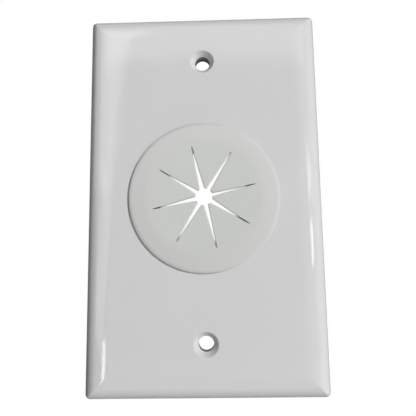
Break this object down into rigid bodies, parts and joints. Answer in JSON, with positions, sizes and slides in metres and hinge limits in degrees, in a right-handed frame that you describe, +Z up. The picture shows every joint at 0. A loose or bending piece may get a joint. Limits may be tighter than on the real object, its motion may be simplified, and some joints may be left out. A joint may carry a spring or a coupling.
{
  "type": "grommet wall plate",
  "caption": "Upright rectangular wall plate with rolled edges, countersunk screw holes top and bottom, and a round slit grommet in the middle for passing cables through a wall.",
  "frame": {"origin": "middle of the plate's outline, on the plane of its back rim, which is the wall", "axes": "+X to the right and +Z up as seen from the front; +Y into the wall, so the face looks along -Y"},
  "size_m": [0.0698, 0.0077, 0.1142],
  "materials": {
    "plate_plastic": "glossy white moulded plastic",
    "grommet_rubber": "satin off-white soft plastic"
  },
  "bodies": {
    "root": {"wall_plate": "plate_plastic", "grommet": "grommet_rubber"}
  },
  "joints": []
}
